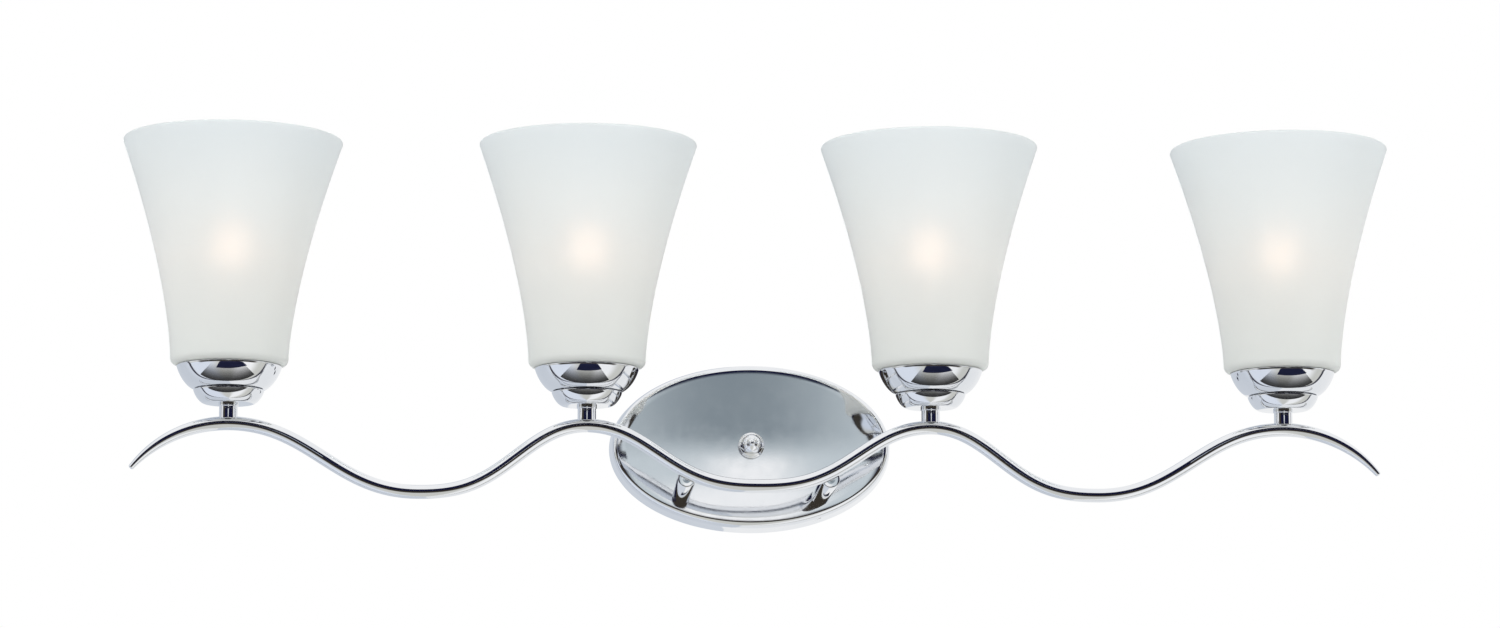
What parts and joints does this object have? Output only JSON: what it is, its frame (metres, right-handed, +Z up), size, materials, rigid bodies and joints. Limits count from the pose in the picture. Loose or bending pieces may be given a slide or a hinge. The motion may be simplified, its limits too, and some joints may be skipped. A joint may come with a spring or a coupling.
{
  "type": "vanity light bar",
  "caption": "Wall vanity light: a wavy chrome tube stands off an oval canopy on posts and carries upright flared frosted-glass shades in stepped cups, over screw-base bulbs.",
  "frame": {"origin": "middle of the oval canopy, on the wall plane that the canopy's open back rests on", "axes": "+X along the bar, to the right as seen from the room; +Y into the wall; +Z up"},
  "size_m": [0.879, 0.2223, 0.2581],
  "materials": {
    "chrome": "polished chrome plate",
    "frosted_glass": "satin etched white glass",
    "bulb_glass": "inside-frosted warm white glass",
    "zinc_steel": "bright zinc plate",
    "brass": "bare stamped brass",
    "aluminium": "rolled thin sheet",
    "ceramic": "glazed white",
    "green_screw": "green dyed zinc plate",
    "lead_cover": "black insulation"
  },
  "bodies": {
    "fixture": {"wave_bar": "chrome", "canopy": "chrome", "post_left": "chrome", "post_right": "chrome", "post_nut_left": "zinc_steel", "post_nut_right": "zinc_steel", "crossbar": "zinc_steel", "center_stud": "zinc_steel", "stud_locknut": "zinc_steel", "box_screw_left": "zinc_steel", "box_screw_right": "zinc_steel", "ground_screw": "green_screw", "wiring_harness": "lead_cover", "stem_1": "chrome", "neck_dome_1": "chrome", "shade_cup_1": "chrome", "nipple_1": "zinc_steel", "socket_body_1": "ceramic", "socket_shell_1": "brass", "shade_ring_1": "ceramic", "shade_glass_1": "frosted_glass", "stem_2": "chrome", "neck_dome_2": "chrome", "shade_cup_2": "chrome", "nipple_2": "zinc_steel", "socket_body_2": "ceramic", "socket_shell_2": "brass", "shade_ring_2": "ceramic", "shade_glass_2": "frosted_glass", "stem_3": "chrome", "neck_dome_3": "chrome", "shade_cup_3": "chrome", "nipple_3": "zinc_steel", "socket_body_3": "ceramic", "socket_shell_3": "brass", "shade_ring_3": "ceramic", "shade_glass_3": "frosted_glass", "stem_4": "chrome", "neck_dome_4": "chrome", "shade_cup_4": "chrome", "nipple_4": "zinc_steel", "socket_body_4": "ceramic", "socket_shell_4": "brass", "shade_ring_4": "ceramic", "shade_glass_4": "frosted_glass"},
    "bulb_1_contact": {"bulb_contact_1": "brass"},
    "bulb_1": {"bulb_base_1": "aluminium", "bulb_glass_1": "bulb_glass"},
    "bulb_2_contact": {"bulb_contact_2": "brass"},
    "bulb_2": {"bulb_base_2": "aluminium", "bulb_glass_2": "bulb_glass"},
    "bulb_3_contact": {"bulb_contact_3": "brass"},
    "bulb_3": {"bulb_base_3": "aluminium", "bulb_glass_3": "bulb_glass"},
    "bulb_4_contact": {"bulb_contact_4": "brass"},
    "bulb_4": {"bulb_base_4": "aluminium", "bulb_glass_4": "bulb_glass"},
    "washer": {"finial_washer": "chrome"},
    "knob": {"finial_knob": "chrome"}
  },
  "joints": [
    {"name": "bulb_1_lift", "type": "slide", "parent": "fixture", "child": "bulb_1_contact", "axis": [0, 0, 1], "range_m": [0, 0.0109]},
    {"name": "bulb_1_turn", "type": "hinge", "parent": "bulb_1_contact", "child": "bulb_1", "pos_m": [-0.365, -0.135, 0.1175], "axis": [0, 0, 1], "range_deg": [0, 1080]},
    {"name": "bulb_2_lift", "type": "slide", "parent": "fixture", "child": "bulb_2_contact", "axis": [0, 0, 1], "range_m": [0, 0.0109]},
    {"name": "bulb_2_turn", "type": "hinge", "parent": "bulb_2_contact", "child": "bulb_2", "pos_m": [-0.119, -0.135, 0.1175], "axis": [0, 0, 1], "range_deg": [0, 1080]},
    {"name": "bulb_3_lift", "type": "slide", "parent": "fixture", "child": "bulb_3_contact", "axis": [0, 0, 1], "range_m": [0, 0.0109]},
    {"name": "bulb_3_turn", "type": "hinge", "parent": "bulb_3_contact", "child": "bulb_3", "pos_m": [0.119, -0.135, 0.1175], "axis": [0, 0, 1], "range_deg": [0, 1080]},
    {"name": "bulb_4_lift", "type": "slide", "parent": "fixture", "child": "bulb_4_contact", "axis": [0, 0, 1], "range_m": [0, 0.0109]},
    {"name": "bulb_4_turn", "type": "hinge", "parent": "bulb_4_contact", "child": "bulb_4", "pos_m": [0.365, -0.135, 0.1175], "axis": [0, 0, 1], "range_deg": [0, 1080]},
    {"name": "finial_lift", "type": "slide", "parent": "fixture", "child": "washer", "axis": [0, -1, 0], "range_m": [0, 0.0066]},
    {"name": "finial_turn", "type": "hinge", "parent": "washer", "child": "knob", "pos_m": [0, -0.0344, 0], "axis": [0, -1, 0], "range_deg": [0, 2520]}
  ],
  "couplings": [
    {"joint": "bulb_1_lift", "follows": "bulb_1_turn", "m_per_rad": 0.0005776},
    {"joint": "bulb_2_lift", "follows": "bulb_2_turn", "m_per_rad": 0.0005776},
    {"joint": "bulb_3_lift", "follows": "bulb_3_turn", "m_per_rad": 0.0005776},
    {"joint": "bulb_4_lift", "follows": "bulb_4_turn", "m_per_rad": 0.0005776},
    {"joint": "finial_lift", "follows": "finial_turn", "m_per_rad": 0.00014972}
  ]
}
